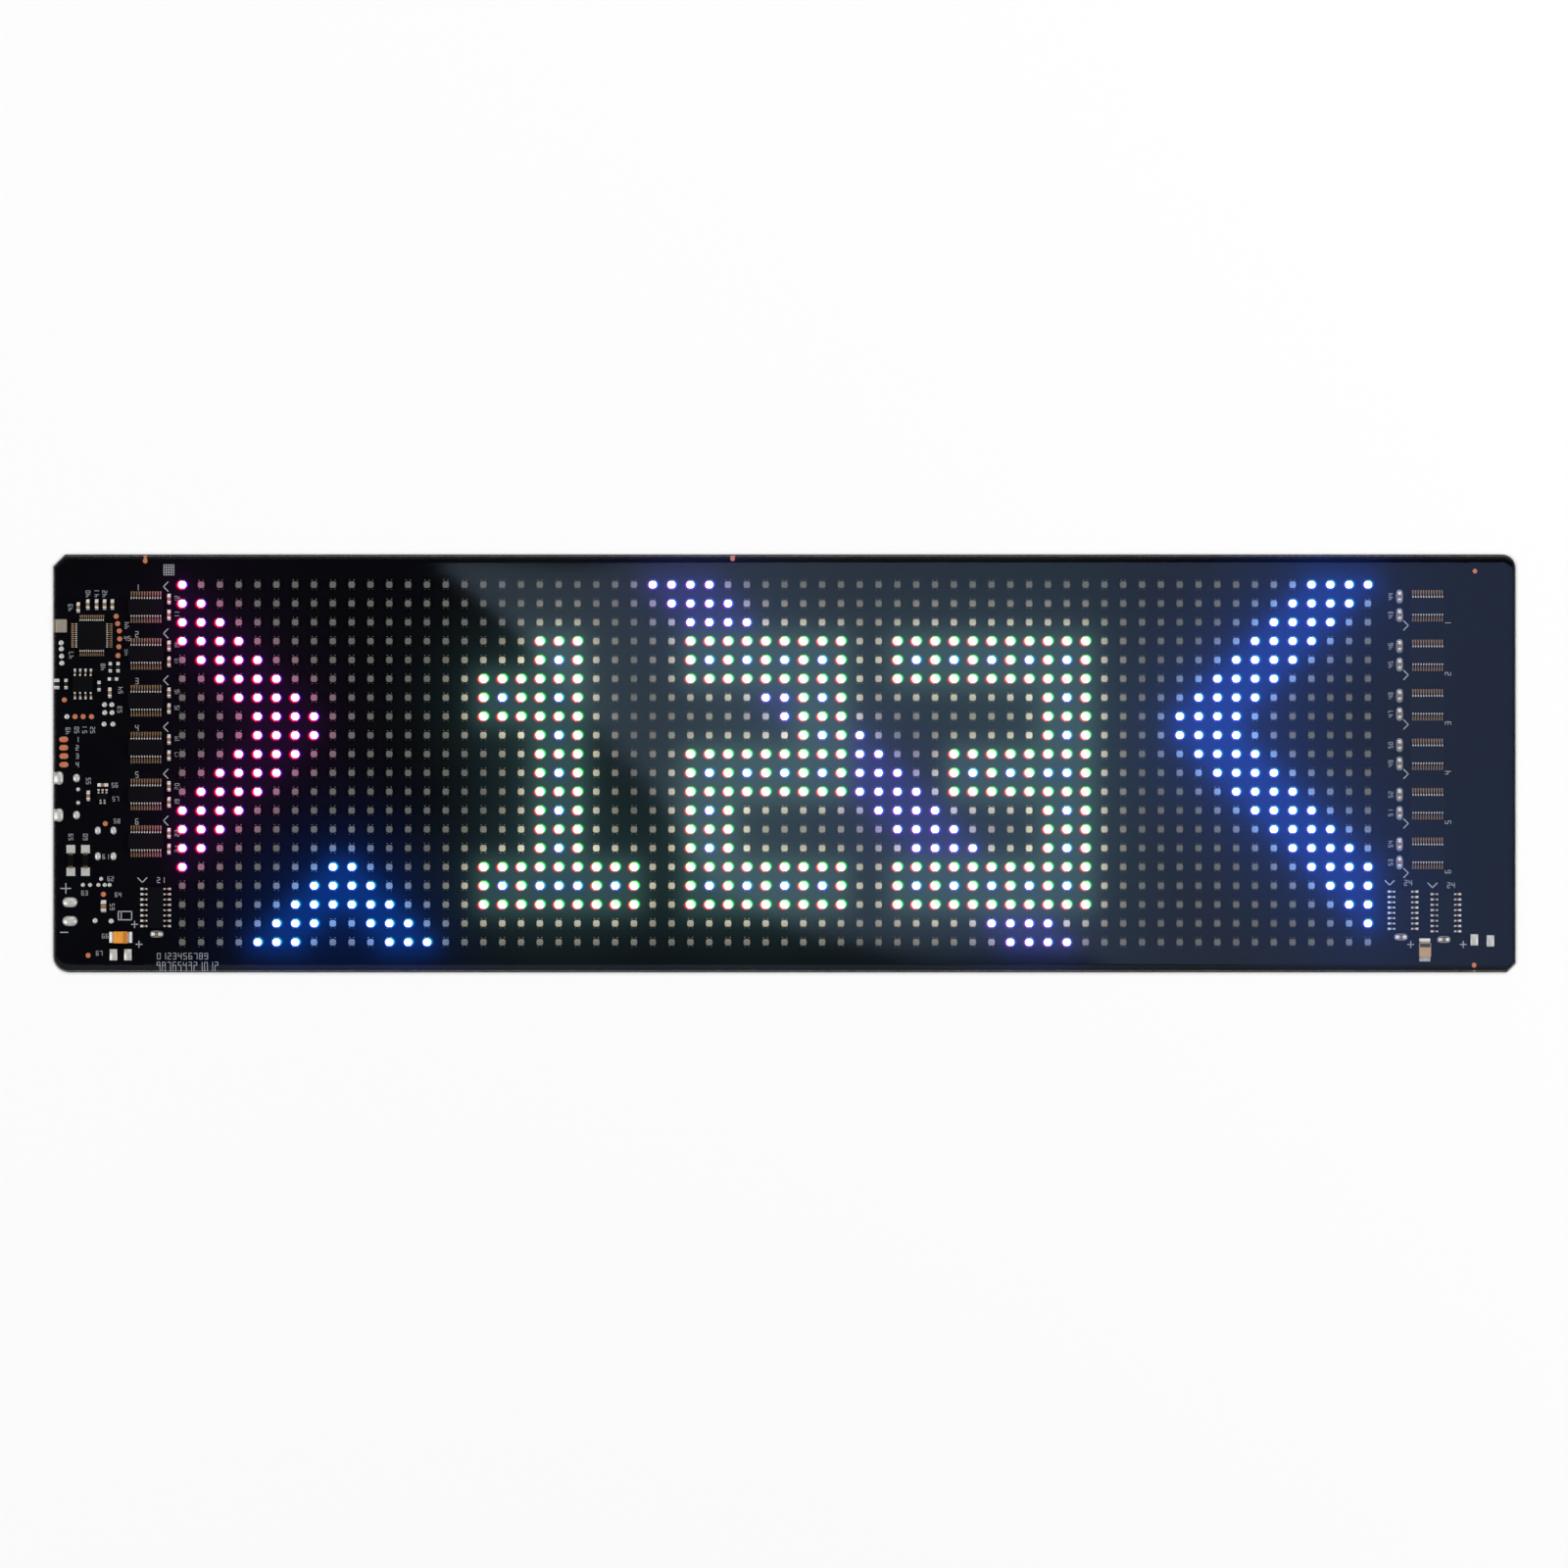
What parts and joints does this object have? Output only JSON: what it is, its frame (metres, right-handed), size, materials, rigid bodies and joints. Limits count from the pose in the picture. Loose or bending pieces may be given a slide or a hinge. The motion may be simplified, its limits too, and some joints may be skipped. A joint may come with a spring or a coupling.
{
  "type": "flexible led screen",
  "caption": "Flexible LED screen: a thin black board with a grid of colour LEDs, driver chips at both ends and a thick clear resin coat, lit with arrows, numbers and a slanted band",
  "frame": {"origin": "The middle of the back face, on the surface that the screen lies on.", "axes": "+X along the screen, from the controller's end to the plain end; +Y up the picture that it shows; +Z out of its lit front."},
  "size_m": [0.35, 0.1, 0.0032],
  "materials": {
    "board_black": "black cover film on a flexible board, satin",
    "clear_resin": "clear poured polyurethane resin, glossy, rounded at its rim",
    "led_package": "moulded LED package, milky epoxy",
    "chip_plastic": "black moulded epoxy, fine matt",
    "capacitor_ceramic": "fired ceramic with tinned ends",
    "resistor_film": "black film on ceramic with tinned ends",
    "tantalum_plastic": "orange moulded epoxy with a dark end band",
    "crystal_can": "seam-welded metal lid",
    "solder": "bright reflowed tin solder",
    "copper": "bare copper with a clear protective finish",
    "board_print": "white epoxy ink printed on the board",
    "led_lens": "clear epoxy over the LED dies, unlit",
    "lit_white": "lit LED, cool white with a green tint",
    "lit_blue": "lit LED, blue",
    "lit_magenta": "lit LED, magenta",
    "lit_violet": "lit LED, violet"
  },
  "bodies": {
    "root": {"button_solder": "solder", "ceramic_capacitors_left": "capacitor_ceramic", "ceramic_capacitors_right": "capacitor_ceramic", "clear_coat": "clear_resin", "controller": "chip_plastic", "crystal": "crystal_can", "diodes": "chip_plastic", "driver_capacitors_left": "capacitor_ceramic", "driver_capacitors_right": "capacitor_ceramic", "driver_left_1": "chip_plastic", "driver_left_2": "chip_plastic", "driver_left_3": "chip_plastic", "driver_left_4": "chip_plastic", "driver_left_5": "chip_plastic", "driver_left_6": "chip_plastic", "driver_right_1": "chip_plastic", "driver_right_2": "chip_plastic", "driver_right_3": "chip_plastic", "driver_right_4": "chip_plastic", "driver_right_5": "chip_plastic", "driver_right_6": "chip_plastic", "flex_board": "board_black", "led_row_01": "led_package", "led_row_02": "led_package", "led_row_03": "led_package", "led_row_04": "led_package", "led_row_05": "led_package", "led_row_06": "led_package", "led_row_07": "led_package", "led_row_08": "led_package", "led_row_09": "led_package", "led_row_10": "led_package", "led_row_11": "led_package", "led_row_12": "led_package", "led_row_13": "led_package", "led_row_14": "led_package", "led_row_15": "led_package", "led_row_16": "led_package", "led_row_17": "led_package", "led_row_18": "led_package", "led_row_19": "led_package", "led_row_20": "led_package", "memory_chip": "chip_plastic", "regulator": "chip_plastic", "resistors": "resistor_film", "row_driver_left": "chip_plastic", "row_driver_right_1": "chip_plastic", "row_driver_right_2": "chip_plastic", "socket_solder": "solder", "supply_solder": "solder", "tantalum_capacitor_left": "tantalum_plastic", "tantalum_capacitor_right": "tantalum_plastic"}
  },
  "joints": []
}
